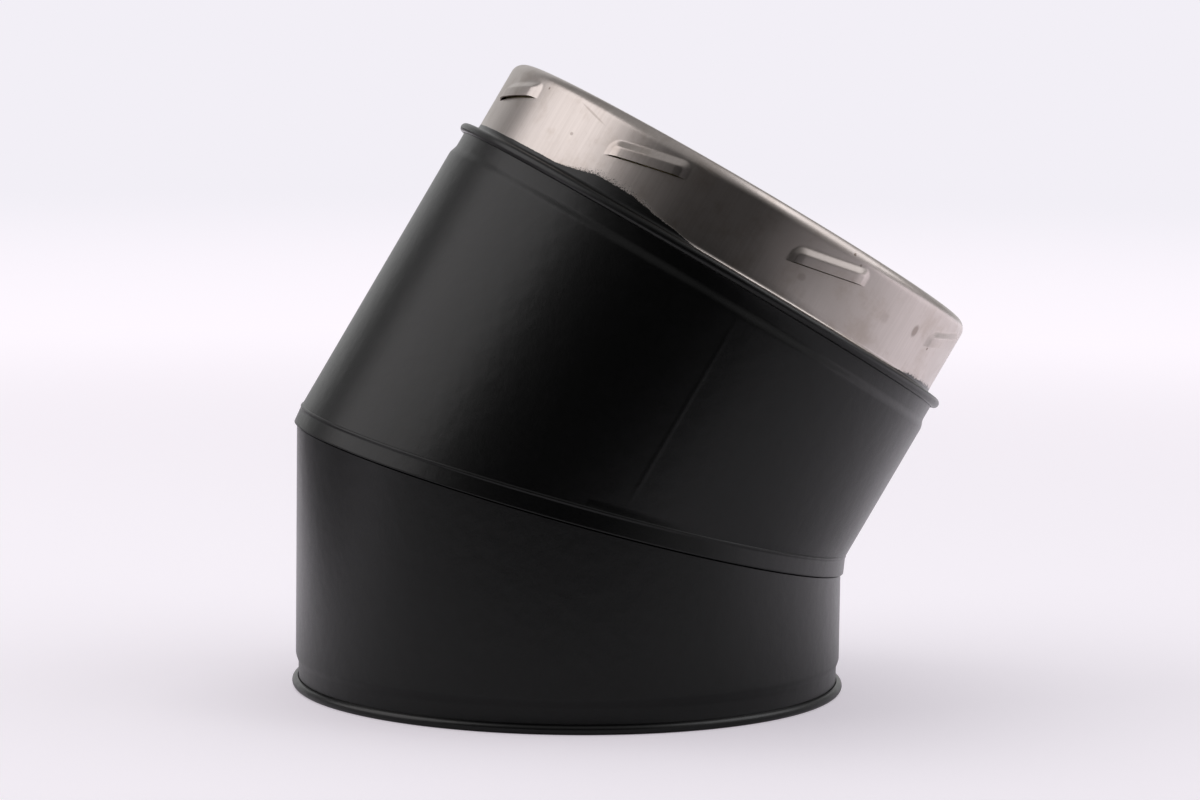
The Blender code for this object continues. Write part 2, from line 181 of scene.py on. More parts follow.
def ramp(tree, value, low, high, out_low=0.0, out_high=1.0):
    """A value eased from out_low to out_high while the input goes from low to high."""
    made = put(
        tree,
        "ShaderNodeMapRange",
        {"Value": value, "From Min": low, "From Max": high, "To Min": out_low, "To Max": out_high},
        interpolation_type="SMOOTHSTEP",
    )
    return made.outputs["Result"]


def noise(tree, place, scale, detail=2.0, roughness=0.5, distortion=0.0):
    """The value of a Noise texture."""
    inputs = {"Vector": place, "Scale": scale, "Detail": detail}
    inputs.update({"Roughness": roughness, "Distortion": distortion})
    return put(tree, "ShaderNodeTexNoise", inputs).outputs["Fac"]


def mixed_color(tree, share, first, second):
    """Two colours mixed by a share."""
    ends = [(*color, 1.0) if isinstance(color, tuple) else color for color in (first, second)]
    inputs = {0: share, 6: ends[0], 7: ends[1]}
    return put(tree, "ShaderNodeMix", inputs, data_type="RGBA").outputs[2]


def node_group(name, kind, inputs, outputs):
    """An empty node group with named sockets; returns the group and its two end nodes."""
    group = bpy.data.node_groups.new(name, kind)
    for way, sockets in (("INPUT", inputs), ("OUTPUT", outputs)):
        for socket, holds in sockets:
            group.interface.new_socket(name=socket, in_out=way, socket_type="NodeSocket" + holds)
    return group, group.nodes.new("NodeGroupInput"), group.nodes.new("NodeGroupOutput")


def brushed_group():
    """Grain of brushed sheet: hair lines along the leg, with cloudy patches in the polish."""
    group, given, result = node_group(
        "brushed_sheet",
        "ShaderNodeTree",
        (("Leg Position", "Vector"), ("Hairs Across", "Float"), ("Hairs Along", "Float")),
        (("Hair", "Float"), ("Cloud", "Float")),
    )
    across = given.outputs["Hairs Across"]
    scale = put(group, "ShaderNodeCombineXYZ", {0: across, 1: across, 2: given.outputs["Hairs Along"]})
    stretched = {0: given.outputs["Leg Position"], 1: scale.outputs[0]}
    place = put(group, "ShaderNodeVectorMath", stretched, operation="MULTIPLY")
    hair = noise(group, place.outputs[0], 1.0, 3.0, 0.62)
    cloud = noise(group, given.outputs["Leg Position"], 30.0)
    group.links.new(hair, result.inputs["Hair"])
    group.links.new(cloud, result.inputs["Cloud"])
    return group


BRUSHED = brushed_group()


def new_look(name):
    """A material, its tree, its Principled shader and the Object coordinates."""
    look = bpy.data.materials.new(name)
    look.use_nodes = True
    tree = look.node_tree
    shader = tree.nodes["Principled BSDF"]
    place = put(tree, "ShaderNodeTexCoord").outputs["Object"]
    return look, tree, shader, place


def leg_position(tree, place, leg):
    """Object coordinates turned into the leg's own frame, with Z out of its rim."""
    inverse = leg.rim.inverted()
    turned = {"Location": inverse.to_translation(), "Rotation": inverse.to_euler()}
    return put(tree, "ShaderNodeMapping", {"Vector": place, **turned}).outputs[0]


def grouped(tree, group, inputs):
    """A node group placed in a material with its own values."""
    return put(tree, "ShaderNodeGroup", inputs, node_tree=group)


def raise_bump(tree, shader, height, distance):
    """Feed a height to the shader's normal."""
    bump = put(tree, "ShaderNodeBump", {"Height": height, "Distance": distance, "Strength": 1.0})
    tree.links.new(bump.outputs[0], shader.inputs["Normal"])


def bright_steel(name, leg):
    """Mill-finish stainless, a little darker and rougher in patches."""
    look, tree, shader, place = new_look(name)
    local = leg_position(tree, place, leg)
    grain = grouped(tree, BRUSHED, {"Leg Position": local, **LINER_HAIRS})
    shade = ramp(tree, grain.outputs["Cloud"], 0.35, 0.7)
    dull = tuple(value * LINER_DULL for value in LINER_STEEL)
    color = mixed_color(tree, shade, LINER_STEEL, dull)
    rough = ramp(tree, grain.outputs["Hair"], 0.2, 0.8, *LINER_ROUGH)
    feed(tree, shader, {"Base Color": color, "Roughness": rough, "Metallic": 1.0})
    raise_bump(tree, shader, grain.outputs["Hair"], LINER_GRAIN)
    return look


def spigot_half():
    """The lower tube."""
    angles = even_angles(LINER_COLUMNS)
    rings = []
    for r, way in ((BORE_R + LINER_SHEET, 1), (BORE_R, -1)):
        side = []
        for step in range(LIP_ROWS + 1):
            share = step / LIP_ROWS
            drawn = SPIGOT_TAPER * (1.0 - smooth_step(0.0, 1.0, share))
            side.append(square_ring(LOWER, r - drawn, SPIGOT_SETBACK + share * SPIGOT_LEAD, angles))
        side.append(mitre_ring(LOWER, r, TIGHT_GAP / 2.0, angles))
        rings += side[::way]
    return swept_mesh("lower_liner", rings)


def socket_half():
    """The upper tube, with its socket."""
    angles = even_angles(LINER_COLUMNS)
    wider = LINER_SHEET + TIGHT_GAP
    root = SOCKET_DEPTH - SOCKET_REACH
    rings = []
    for r, way in ((BORE_R + LINER_SHEET, 1), (BORE_R, -1)):
        side = [square_ring(UPPER, r + wider, -SOCKET_REACH, angles)]
        for step in range(LIP_ROWS + 1):
            share = step / LIP_ROWS
            narrowed = wider * smooth_step(0.0, 1.0, share)
            side.append(square_ring(UPPER, r + wider - narrowed, root + share * SOCKET_STEP, angles))
        side.append(mitre_ring(UPPER, r, TIGHT_GAP / 2.0, angles))
        rings += side[::way]
    return swept_mesh("upper_liner", rings)


lower_liner = add_piece("lower_liner", spigot_half(), bright_steel("bright_steel_lower", LOWER))
upper_liner = add_piece("upper_liner", socket_half(), bright_steel("bright_steel_upper", UPPER))
for piece, solid in ((lower_liner, "lower_liner_gore"), (upper_liner, "upper_liner_gore")):
    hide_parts(solid)
    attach(piece, "root")

# ================================================================ liner weld
# The bead that joins the liner halves: a stainless weld laid round the outside of the mitre, drop
# on drop. It is buried in the wool.
WELD_R = BORE_R + LINER_SHEET + TIGHT_GAP
WELD_DROPS = 150
WELD_DROP_WIDTH = 0.0038
WELD_DROP_HEIGHT = 0.0010
WELD_DROP_LENGTH = 0.0046
WELD_COLOR = (0.30, 0.27, 0.24)
WELD_STRAW = (0.36, 0.28, 0.17)
WELD_SCALE = 420.0
WELD_ROUGH = (0.36, 0.58)
WELD_GRAIN = 0.00006


def grown_mesh(name, seed_mesh, group, values):
    """Run a geometry node group on a mesh and return the plain mesh that it makes."""
    holder = linked(name + "_source", seed_mesh)
    modifier = holder.modifiers.new("grow", "NODES")
    modifier.node_group = group
    for item in group.interface.items_tree:
        if item.in_out == "INPUT" and item.name in values:
            modifier[item.identifier] = values[item.name]
    graph = bpy.context.evaluated_depsgraph_get()
    mesh = bpy.data.meshes.new_from_object(holder.evaluated_get(graph), depsgraph=graph)
    mesh.name = name
    bpy.data.objects.remove(holder)
    return mesh


def hand_out(group, last, given, result):
    """Give the last node's geometry the group's finish and pass it to the group's output."""
    finish = {"Geometry": last.outputs[0], "Material": given.outputs["Finish"]}
    painted = put(group, "GeometryNodeSetMaterial", finish)
    group.links.new(painted.outputs[0], result.inputs[0])


def drops_group():
    """Drops set nose to tail along a path that is given as a loop of edges."""
    group, given, result = node_group(
        "drops_along_a_path",
        "GeometryNodeTree",
        (("Geometry", "Geometry"), ("Drops", "Int"), ("Drop Size", "Vector"), ("Finish", "Material")),
        (("Geometry", "Geometry"),),
    )
    path = put(group, "GeometryNodeMeshToCurve", {0: given.outputs["Geometry"]}).outputs[0]
    spaced = put(group, "GeometryNodeResampleCurve", {"Curve": path, "Count": given.outputs["Drops"]})
    drop = put(group, "GeometryNodeMeshIcoSphere", {"Radius": 0.5, "Subdivisions": 2})
    tangent = put(group, "GeometryNodeInputTangent")
    outward = put(group, "GeometryNodeInputPosition")
    back = tuple(-value for value in MITRE_PLANE.to_translation())
    centred = put(group, "ShaderNodeVectorMath", {0: outward.outputs[0], 1: back}, operation="ADD")
    along = put(group, "FunctionNodeAlignRotationToVector", {"Vector": tangent.outputs[0]}, axis="X")
    upright = {"Rotation": along.outputs[0], "Vector": centred.outputs[0]}
    turned = put(group, "FunctionNodeAlignRotationToVector", upright, axis="Z", pivot_axis="X")
    drops = {"Points": spaced.outputs[0], "Instance": drop.outputs[0]}
    drops.update({"Rotation": turned.outputs[0], "Scale": given.outputs["Drop Size"]})
    placed = put(group, "GeometryNodeInstanceOnPoints", drops)
    real = put(group, "GeometryNodeRealizeInstances", {0: placed.outputs[0]})
    hand_out(group, real, given, result)
    return group


def weld_look():
    """Dull, faintly straw-coloured weld metal."""
    look, tree, shader, place = new_look("weld_metal")
    heat = noise(tree, place, WELD_SCALE, 3.0)
    color = mixed_color(tree, heat, WELD_COLOR, WELD_STRAW)
    rough = ramp(tree, heat, 0.3, 0.7, *WELD_ROUGH)
    feed(tree, shader, {"Base Color": color, "Roughness": rough, "Metallic": 1.0})
    raise_bump(tree, shader, heat, WELD_GRAIN)
    return look


def weld_path():
    """The mitre line on the outside of the liner, as a closed loop of edges."""
    points = mitre_ring(LOWER, WELD_R, 0.0, even_angles(LINER_COLUMNS))
    mesh = bpy.data.meshes.new("weld_path")
    edges = [(place, (place + 1) % len(points)) for place in range(len(points))]
    mesh.from_pydata([tuple(point) for point in points], edges, [])
    return mesh


weld_metal = weld_look()
weld_values = {
    "Drops": WELD_DROPS,
    "Drop Size": (WELD_DROP_LENGTH, WELD_DROP_WIDTH, 2.0 * WELD_DROP_HEIGHT),
    "Finish": weld_metal,
}
weld_mesh = grown_mesh("liner_weld", weld_path(), drops_group(), weld_values)
liner_weld = add_piece("liner_weld", weld_mesh, weld_metal)
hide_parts("liner_seam_weld")
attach(liner_weld, "root")

# ================================================================ mineral wool
# The insulation: a collar of amber mineral wool, 25 mm thick, packed between liner and casing in
# each half. It keeps the solids of the frame, whose shape is right, and gets its fibres here.
WOOL_COLOR = (0.44, 0.36, 0.17)
WOOL_PALE = (0.60, 0.53, 0.33)
WOOL_DARK_PATCH = (0.26, 0.20, 0.09)
WOOL_STRANDS = 900.0
WOOL_CLUMPS = 90.0
WOOL_ROUGH = (0.8, 1.0)
WOOL_GRAIN = 0.0008


def wool_look():
    """Matted fibres, darker in patches at random."""
    look, tree, shader, place = new_look("amber_wool")
    strands = noise(tree, place, WOOL_STRANDS, 6.0, distortion=1.6)
    fibre = mixed_color(tree, ramp(tree, strands, 0.35, 0.68), WOOL_COLOR, WOOL_PALE)
    # Darker patches at random, placed by a coarse noise.
    dark_patches = ramp(tree, noise(tree, place, WOOL_CLUMPS, 4.0), 0.3, 0.6)
    color = mixed_color(tree, dark_patches, WOOL_DARK_PATCH, fibre)
    rough = ramp(tree, strands, 0.2, 0.8, *WOOL_ROUGH)
    feed(tree, shader, {"Base Color": color, "Roughness": rough})
    raise_bump(tree, shader, strands, WOOL_GRAIN)
    return look


amber_wool = wool_look()
for solid in ("lower_insulation", "upper_insulation"):
    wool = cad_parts[solid]
    wool.data.materials.clear()
    wool.data.materials.append(amber_wool)

# ================================================================ casing halves
# The outer casing: two half-millimetre steel sheets rolled into short tubes of 200 mm and cut at 15
# degrees. The upper one is turned down over the lower one in a locked seam, whose band flares a
# little below a fine ridge. Each rim is swaged in to a neck. Both are sprayed satin black once joined.
CASING_R = 0.1000
CASING_SHEET = 0.0005
NECK_STEP = 0.0010
NECK_END = 0.0085
NECK_RAMP = 0.0040
NECK_ROWS = 12
WALL_START = 1.3
LIP_FLARE = 0.0013
LIP_TURN = 0.0010
FLARE_ROWS = 5
HEM_HEIGHT = 0.0035
SEAM_HALF = 0.0031
SEAM_TUCK = 0.0008
BAND_PROUD = 0.00100
BAND_FOOT = 0.00015
BAND_SHARES = (0.06, 0.5, 0.94, 1.0)
RIDGE_PROUD = 0.00030
RIDGE_CREST = 0.0033
RIDGE_FOOT = 0.0026
RIDGE_TOP = 0.0040
RIDGE_ROWS = (6, 8)
SEAM_PLANE_SHIFT = SEAM_HALF * math.tan(HALF)
CASING_COLUMNS = 300
WALL_SHARES = (0.15, 0.35, 0.55, 0.70, 0.80, 0.84, 0.88, 0.92, 0.96, 1.0)
SHEET_WELD_HALF = 0.0009
SHEET_WELD_PROUD = 0.00010
SHEET_WELD_FADE = (0.80, 0.97)
UPPER_WELD_ANGLE = math.radians(-88.5)
LOWER_WELD_ANGLE = math.radians(92.0)
PAINT = (0.0007, 0.0007, 0.0008)
PAINT_SHINE = 0.43
PAINT_ROUGH = (0.27, 0.37)
PAINT_RUBBED = 2.2
SAND_SCALE = 2600.0
SWELL_SCALE = 170.0
SWELL_HEIGHT = 2.5
PAINT_GRAIN = 0.00004
PAINT_DUST = (0.045, 0.044, 0.043)
DUST_SCALE = 46.0
DUST_SIZE = (0.010, 0.022)
DUSTY_SCALE = 60.0
DUSTY_SHARE = (0.52, 0.56)


def sheet_sides(line, thickness):
    """The two sides of a sheet whose centre line is given as (r, depth) points."""
    left = []
    right = []
    for index, (r, depth) in enumerate(line):
        before = line[max(index - 1, 0)]
        after = line[min(index + 1, len(line) - 1)]
        way = Vector((after[0] - before[0], after[1] - before[1])).normalized()
        left.append((r + way.y * thickness / 2.0, depth - way.x * thickness / 2.0))
        right.append((r - way.y * thickness / 2.0, depth + way.x * thickness / 2.0))
    return left, right


def casing_rim_line():
    """Centre line of the flared lip, the neck and the ramp up to the full wall."""
    neck = CASING_R - NECK_STEP - CASING_SHEET / 2.0
    cut_edge = HEM_HEIGHT / 2.0 - CASING_SHEET / 2.0
    line = []
    for step in range(FLARE_ROWS + 1):
        share = step / FLARE_ROWS
        line.append((neck + LIP_FLARE * (1.0 - share) ** 2, cut_edge + LIP_TURN * share))
    line.append((neck, NECK_END - NECK_RAMP / 2.0))
    for step in range(NECK_ROWS + 1):
        share = step / NECK_ROWS
        line.append((neck + NECK_STEP * smooth_step(0.0, 1.0, share), NECK_END + NECK_RAMP * share))
    line.append((neck + NECK_STEP, NECK_END + NECK_RAMP * WALL_START))
    return line


def oval_ring(offset, along, angles):
    """A ring of the seam, which is oval and square to the mitre plane."""
    ring = []
    for angle in angles:
        across = (CASING_R / math.cos(HALF) + offset) * math.cos(angle) + SEAM_PLANE_SHIFT
        ring.append(MITRE_PLANE @ Vector((across, (CASING_R + offset) * math.sin(angle), along)))
    return ring


def turn_from(middle, angle):
    """How far an angle lies from a middle one, at most half a turn either way."""
    return (angle - middle + math.pi) % (2.0 * math.pi) - math.pi


def casing_angles(weld_angle):
    """Even angles, with close ones where the sheet's own weld runs."""
    reach = 2.0 * SHEET_WELD_HALF / CASING_R
    kept = [angle for angle in even_angles(CASING_COLUMNS) if abs(turn_from(weld_angle, angle)) > reach]
    close = [weld_angle + reach * step / 8.0 for step in range(-8, 9)]
    return sorted(angle % (2.0 * math.pi) for angle in kept + close)


def weld_lift(angle, weld_angle):
    """How far the sheet's weld stands proud at an angle."""
    away = turn_from(weld_angle, angle) * CASING_R
    return SHEET_WELD_PROUD * math.exp(-((away / SHEET_WELD_HALF) ** 2))


def casing_sheet(name, leg, weld_angle, seam_outer, seam_inner, stop):
    """One half of the casing: rim, wall with its weld, and the rings of its end of the seam."""
    angles = casing_angles(weld_angle)
    outer, inner = sheet_sides(casing_rim_line(), CASING_SHEET)
    rings = [square_ring(leg, r, depth, angles) for r, depth in outer]
    wall = []
    start = outer[-1][1]
    for share in WALL_SHARES:
        fade = 1.0 - smooth_step(*SHEET_WELD_FADE, share)
        ring = []
        for angle in angles:
            end = leg.length - stop / math.cos(HALF) - CASING_R * math.cos(angle) * math.tan(HALF)
            r = CASING_R + weld_lift(angle, weld_angle) * fade
            ring.append(leg_point(leg, r, angle, start + (end - start) * share))
        wall.append(ring)
    rings += wall + seam_outer(angles) + seam_inner(angles)
    rings.append(mitre_ring(leg, CASING_R - CASING_SHEET, stop, angles))
    rings += [square_ring(leg, r, depth, angles) for r, depth in reversed(inner)]
    return swept_mesh(name, rings)


def tucked_outer(angles):
    """Outside of the lower half's collar, hidden in the band."""
    tucked = BAND_FOOT - CASING_SHEET - TIGHT_GAP
    return [oval_ring(tucked, along, angles) for along in (-SEAM_HALF, SEAM_HALF - SEAM_TUCK)]


def tucked_inner(angles):
    """Inside of the lower half's collar."""
    tucked = BAND_FOOT - 2.0 * CASING_SHEET - TIGHT_GAP
    return [oval_ring(tucked, along, angles) for along in (SEAM_HALF - SEAM_TUCK, -SEAM_HALF)]


def between(low, high, steps):
    """Even steps from low to high, without low itself."""
    return [low + (high - low) * step / steps for step in range(1, steps + 1)]


def band_line():
    """Outside of the upper half's seam below the wall: a ridge and a band that flares a little."""
    line = []
    for share in between(0.0, 1.0, RIDGE_ROWS[0]):
        rise = RIDGE_PROUD * math.sin(share * math.pi / 2.0)
        line.append((rise, RIDGE_TOP + (RIDGE_CREST - RIDGE_TOP) * share))
    for share in between(0.0, 1.0, RIDGE_ROWS[1]):
        fall = (RIDGE_PROUD - BAND_FOOT) * smooth_step(0.0, 1.0, share)
        line.append((RIDGE_PROUD - fall, RIDGE_CREST + (RIDGE_FOOT - RIDGE_CREST) * share))
    edge = -SEAM_HALF + CASING_SHEET / 2.0
    for share in BAND_SHARES:
        flare = (BAND_PROUD - BAND_FOOT) * share
        line.append((BAND_FOOT + flare, RIDGE_FOOT + (edge - RIDGE_FOOT) * share))
    line.append((BAND_PROUD - CASING_SHEET / 4.0, -SEAM_HALF))
    return line


def band_outer(angles):
    """Outside of the band."""
    return [oval_ring(offset, along, angles) for offset, along in band_line()]


def band_inner(angles):
    """Inside of the band."""
    inside = [(offset - CASING_SHEET, along) for offset, along in reversed(band_line()[:-1])]
    inside[0] = (BAND_PROUD - CASING_SHEET, -SEAM_HALF)
    return [oval_ring(offset, along, angles) for offset, along in inside]


def sandy_group():
    """Sprayed satin paint: fine sandy grain, a slow orange-peel swell and a few specks of dust."""
    group, given, result = node_group(
        "sandy_paint",
        "ShaderNodeTree",
        (("Position", "Vector"),),
        (("Height", "Float"), ("Grain", "Float"), ("Swell", "Float"), ("Dust", "Float")),
    )
    place = given.outputs["Position"]
    fine = noise(group, place, SAND_SCALE, roughness=0.6)
    swell = noise(group, place, SWELL_SCALE)
    specks = put(group, "ShaderNodeTexVoronoi", {"Vector": place, "Scale": DUST_SCALE})
    near = ramp(group, specks.outputs["Distance"], *DUST_SIZE, 1.0, 0.0)
    dusty = ramp(group, noise(group, place, DUSTY_SCALE, 3.0), *DUSTY_SHARE)
    dust = maths(group, "MULTIPLY", near, dusty)
    peel = maths(group, "MULTIPLY", swell, SWELL_HEIGHT)
    height = maths(group, "ADD", maths(group, "ADD", fine, peel), dust)
    for name, value in (("Height", height), ("Grain", fine), ("Swell", swell), ("Dust", dust)):
        group.links.new(value, result.inputs[name])
    return group


SANDY = sandy_group()


def paint_roughness(tree, sand):
    """Roughness of the paint, grain by grain."""
    return ramp(tree, sand.outputs["Grain"], 0.2, 0.8, *PAINT_ROUGH)


def black_paint():
    """The casing's paint."""
    look, tree, shader, place = new_look("satin_black_paint")
    sand = grouped(tree, SANDY, {"Position": place})
    rubbed = tuple(value * PAINT_RUBBED for value in PAINT)
    cloudy = mixed_color(tree, ramp(tree, sand.outputs["Swell"], 0.45, 0.75), PAINT, rubbed)
    dusted = mixed_color(tree, sand.outputs["Dust"], cloudy, PAINT_DUST)
    rough = paint_roughness(tree, sand)
    feed(tree, shader, {"Base Color": dusted, "Roughness": rough, "Specular IOR Level": PAINT_SHINE})
    raise_bump(tree, shader, sand.outputs["Height"], PAINT_GRAIN)
    return look


satin_black = black_paint()
lower_stop = SEAM_HALF + 2.0 * TIGHT_GAP
lower_mesh = casing_sheet(
    "lower_casing", LOWER, LOWER_WELD_ANGLE, tucked_outer, tucked_inner, lower_stop
)
upper_mesh = casing_sheet(
    "upper_casing", UPPER, UPPER_WELD_ANGLE, band_outer, band_inner, RIDGE_TOP
)
lower_casing = add_piece("lower_casing", lower_mesh, satin_black)
upper_casing = add_piece("upper_casing", upper_mesh, satin_black)
for piece, solid in ((lower_casing, "lower_casing_gore"), (upper_casing, "upper_casing_gore")):
    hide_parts(solid)
    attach(piece, "root")

# ================================================================ couplers
# The twist-lock ends: half-millimetre brushed stainless, pressed and hemmed round the casing's
# flared lip before the paint goes on. Eight lugs are lanced in each sleeve, outwards on the sleeve
# that stands out of the upper rim and inwards in the one recessed in the lower rim.
COUPLER_SHEET = 0.0005
HEM_PROUD = 0.0013
MALE_R = 0.0954
FEMALE_R = 0.0979
SLEEVE_FILLET = 0.0018
SLEEVE_CORNER = 0.0045
SHOULDER_ROWS = 14
SHOULDER_GAP = 0.0016
SHOULDER_CLIMB = 0.8
FADE_START = 0.0040
FADE_STEP = 0.0035
FADE_CLIMB = 0.3
RECESS_ABOVE = 0.0060
RECESS_ABOVE_CLIMB = 0.6
RECESS_BELOW = 0.0035
RECESS_BELOW_CLIMB = 0.35
FEMALE_FILLET = 0.0006
LEDGE_DEPTH = 0.03125
COLLAR_LENGTH = 0.0065
COLLAR_BEND = 0.00125
LUGS = 8
LUG_PHASE = math.radians(14.0)
LUG_HALF_TURN = math.radians(9.5)
LUG_RISE = 0.0014
LUG_WIDTH = 0.0067
LUG_CORNER = 0.0040
LUG_FLANK = 0.0031
LUG_ROUNDING = 0.20
LUG_END = 0.0060
LUG_END_START = 0.3
LUG_END_DROP = 0.40
LUG_CLIMB = 0.0063
LUG_HEIGHT = 0.0157
LUG_CATCH = 0.0004
LUG_SKIRT = math.radians(0.6)
LUG_EDGE = 0.0003
SLIT_OPEN = 0.0004
JOIN_DISTANCE = 0.00001
STEEL = (0.675, 0.612, 0.580)
STEEL_DULL = (0.570, 0.512, 0.480)
STEEL_STAIN = (0.20, 0.150, 0.120)
STEEL_TARNISH = (0.42, 0.345, 0.290)
STEEL_ROUGH = (0.32, 0.39)
STEEL_GRAIN = 0.00003
HAIRS = {"Hairs Across": 1000.0, "Hairs Along": 20.0}
HAIR_HEIGHT = 0.45
TARNISH_SCALE = 75.0
TARNISH_MOST = 0.45
SPUN_SCALE = 2200.0
SPUN_HEIGHT = 2.5
OVERSPRAY_LOW = 0.0004
OVERSPRAY_BAND = 0.00170
OVERSPRAY_BLOB = 0.0031
OVERSPRAY_ROUGH = 0.0013
FRONT_BAND = (-109.0, -102.0)
BACK_BAND = (60.0, 150.0)
BLOB_SPAN = (-141.0, -127.0, -123.0, -107.0)
ROUGH_SPAN = (-50.0, -36.0, 10.0, 60.0)
WAVER = (0.00005, 0.00015, 0.00035)
SPRAY = (0.0001, 0.0017, 0.0006)
SPRAY_SCALE = 3200.0
SPRAY_THINNING = 0.15
EDGE_SCALE = 520.0
EDGE_BLUR = 0.0001
RIM_PAINT_R = 0.0986
RIM_PAINT_WAVER = 0.0002

Station = namedtuple("Station", "r z follow up straight", defaults=(False,))
Roll = namedtuple("Roll", "sleeve start bend")
Polar = namedtuple("Polar", "angle radius height")
Mark = namedtuple("Mark", "angle height width tall slant depth")
MARKS = (
    Mark(-154.2, 0.0240, 0.0006, 0.0006, 0.0, 0.9),
    Mark(-140.4, 0.0135, 0.0010, 0.0008, 0.0, 0.5),
    # A long thin slanted dark line on the sleeve.
    Mark(-138.0, 0.0232, 0.0085, 0.0005, 0.23, 0.35),
    Mark(-72.4, 0.0266, 0.0007, 0.0007, 0.0, 0.8),
    Mark(-70.0, 0.0244, 0.0006, 0.0006, 0.0, 0.6),
    Mark(-37.7, 0.0126, 0.0007, 0.0007, 0.0, 0.9),
    Mark(-46.4, 0.0154, 0.0022, 0.0030, 0.0, 0.60),
    Mark(-57.4, 0.0135, 0.0026, 0.0024, 0.0, 0.16),
    Mark(-80.5, 0.0104, 0.0020, 0.0018, 0.0, 0.25),
)


def arc_line(centre_r, centre_z, radius, first, last, steps):
    """Points on a round bend of a centre line, in degrees from the direction away from the axis."""
    points = []
    for step in range(steps + 1):
        angle = math.radians(first + (last - first) * step / steps)
        points.append((centre_r + radius * math.cos(angle), centre_z + radius * math.sin(angle)))
    return points


def rounded_ramp(share):
    """0 to 1 at one slope, with both ends of the slope rounded."""
    share = min(max(share, 0.0), 1.0)
    near = min(share, 1.0 - share)
    if near < LUG_ROUNDING:
        rise = near * near / (2.0 * LUG_ROUNDING * (1.0 - LUG_ROUNDING))
    else:
        rise = (near - LUG_ROUNDING / 2.0) / (1.0 - LUG_ROUNDING)
    return rise if share <= 0.5 else 1.0 - rise


def lug_lift(turn, up):
    """How far the sheet is raised, turn away from the lug's middle and up from its slit."""
    end = (LUG_HALF_TURN - abs(turn)) * MALE_R
    side = LUG_CORNER - end
    top = up - (LUG_WIDTH - LUG_CORNER)
    if side > 0.0 and top > 0.0:
        inside = LUG_CORNER - math.hypot(side, top)
    else:
        inside = LUG_CORNER - max(side, top)
    drop = LUG_END_DROP * (1.0 - smooth_step(LUG_END_START * LUG_FLANK, LUG_END, end))
    return LUG_RISE * rounded_ramp(inside / LUG_FLANK) * (1.0 - drop)


def sector_angles():
    """Angles across one lug's share of the sleeve, close together on the lug's two ends."""
    foot = LUG_HALF_TURN
    top = foot - LUG_FLANK / MALE_R
    sag = foot - LUG_END / MALE_R
    half = [0.0] + between(0.0, sag, 4) + between(sag, top, 6) + between(top, foot, 9)
    skirt = foot + LUG_SKIRT
    half += between(foot, skirt, 2) + between(skirt, math.pi / LUGS, 6)
    return [-turn for turn in reversed(half[1:])] + half


def climb_at(turn):
    """Height of the slit's line: it climbs along the lug and falls back before the next one."""
    half_share = math.pi / LUGS
    if abs(turn) <= LUG_HALF_TURN:
        return LUG_CLIMB * turn / (2.0 * LUG_HALF_TURN)
    back = (half_share - abs(turn)) / (half_share - LUG_HALF_TURN)
    return math.copysign(LUG_CLIMB / 2.0 * back, turn)


def rolled_over(r, z, roll):
    """A point of a straight sleeve, once the sleeve's end is bent in over its shoulder."""
    if z <= roll.start:
        return r, z
    turn = min((z - roll.start) / roll.bend, math.pi / 2.0)
    reach = roll.bend + r - roll.sleeve
    over = z - roll.start - roll.bend * turn
    return roll.sleeve - roll.bend + reach * math.cos(turn) - over, roll.start + reach * math.sin(turn)


def sector_mesh(name, stations, slit, push, roll):
    """One lug's share of a coupler in the leg's frame, cut free along the slit where it is raised."""
    angles = sector_angles()
    left, right = sheet_sides([(s.r, s.z) for s in stations], COUPLER_SHEET)
    opening = math.copysign(SLIT_OPEN, stations[slit + 1].z - stations[slit].z)
    bm = bmesh.new()

    def vertex(sides, index, turn, raised):
        station = stations[index]
        r, z = sides[index]
        lift = lug_lift(turn, station.up) if raised and station.up is not None else 0.0
        away = opening * lift / LUG_RISE if index == slit else 0.0
        angle = LUG_PHASE + turn
        height = z + station.follow * climb_at(turn) + away
        reach = r + push * lift
        if roll and station.straight:
            reach, height = rolled_over(reach, height, roll)
        return bm.verts.new((reach * math.cos(angle), reach * math.sin(angle), height))

    sheets = []
    for sides in (left, right):
        sheets.append([[vertex(sides, i, t, True) for t in angles] for i in range(len(stations))])
    cut = [lug_lift(turn, 0.0) > 0.0 for turn in angles]
    stay = []
    for sheet, sides in zip(sheets, (left, right)):
        row = zip(angles, cut, sheet[slit])
        stay.append([vertex(sides, slit, t, False) if c else v for t, c, v in row])

    def strip(rows):
        for row, following in zip(rows, rows[1:]):
            for place in range(len(row) - 1):
                bm.faces.new((row[place], row[place + 1], following[place + 1], following[place]))

    strip(sheets[0][slit:] + sheets[1][slit:][::-1])
    strip(stay[:1] + sheets[0][:slit][::-1] + sheets[1][:slit] + stay[1:])
    for first, second, way in ((sheets[0][slit], sheets[1][slit], 1), (stay[0], stay[1], -1)):
        for place in range(len(angles) - 1):
            if cut[place] or cut[place + 1]:
                corners = (first[place], first[place + 1], second[place + 1], second[place])
                distinct = list(dict.fromkeys(corners))
                bm.faces.new(distinct[::way])
    bmesh.ops.recalc_face_normals(bm, faces=bm.faces)
    return finished(bm, name)


def plain_stations(line):
    """Stations away from the lugs."""
    return [Station(r, z, 0.0, None) for r, z in line]


def hem_line(inwards):
    """The hem round the casing's lip, from its edge on the neck round the bead to the rim's face."""
    bend = HEM_HEIGHT / 2.0 - COUPLER_SHEET / 2.0
    bead_r = CASING_R + HEM_PROUD - HEM_HEIGHT / 2.0
    edge_r = CASING_R - NECK_STEP + TIGHT_GAP
    line = [(edge_r, HEM_HEIGHT - COUPLER_SHEET / 2.0)]
    line += arc_line(bead_r, HEM_HEIGHT / 2.0, bend, 75.0, -90.0, 14)
    return [(r, inwards * z) for r, z in line]


